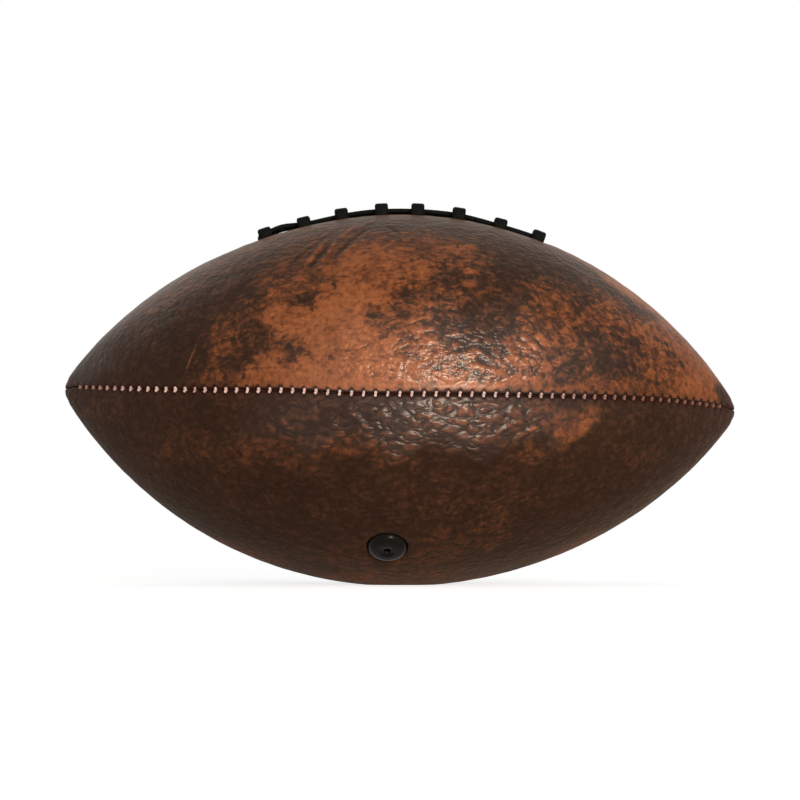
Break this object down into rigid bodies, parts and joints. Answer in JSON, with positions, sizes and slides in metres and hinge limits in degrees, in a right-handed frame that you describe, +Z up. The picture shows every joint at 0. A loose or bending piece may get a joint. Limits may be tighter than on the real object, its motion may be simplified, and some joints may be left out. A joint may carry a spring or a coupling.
{
  "type": "american football",
  "caption": "Laced leather ball with pointed ends: sewn panels on linings, an inner bladder, a domed inflation valve with a pull-out core and a laced slit, for throwing, catching and kicking.",
  "frame": {"origin": "on the surface that the ball lies on, under the middle of the ball", "axes": "+X along the ball from point to point, +Z up through the lacing, the valve on the -Y side below the front seam"},
  "size_m": [0.2796, 0.1546, 0.1594],
  "materials": {
    "panel_leather": "satin",
    "lining_canvas": "matte",
    "inner_leather": "matte",
    "lace_strip": "satin",
    "seam_thread": "matte",
    "bladder_rubber": "matte",
    "valve_rubber": "satin"
  },
  "bodies": {
    "ball": {"panel_front_upper": "panel_leather", "panel_front_lower": "panel_leather", "panel_back_upper": "panel_leather", "panel_back_lower": "panel_leather", "lining_front_upper": "lining_canvas", "lining_front_lower": "lining_canvas", "lining_back_upper": "lining_canvas", "lining_back_lower": "lining_canvas", "lace_facing_front": "inner_leather", "lace_facing_back": "inner_leather", "lace_tongue": "inner_leather", "lace": "lace_strip", "seam_thread_front": "seam_thread", "seam_thread_back": "seam_thread", "seam_thread_bottom": "seam_thread", "seam_thread_top_left": "seam_thread", "seam_thread_top_right": "seam_thread", "bladder": "bladder_rubber", "valve_body": "valve_rubber"},
    "core": {"valve_core": "valve_rubber"}
  },
  "joints": [
    {"name": "valve_core_pull", "type": "slide", "parent": "ball", "child": "core", "axis": [-0.029, -0.6291, -0.7768], "range_m": [0, 0.02]}
  ]
}
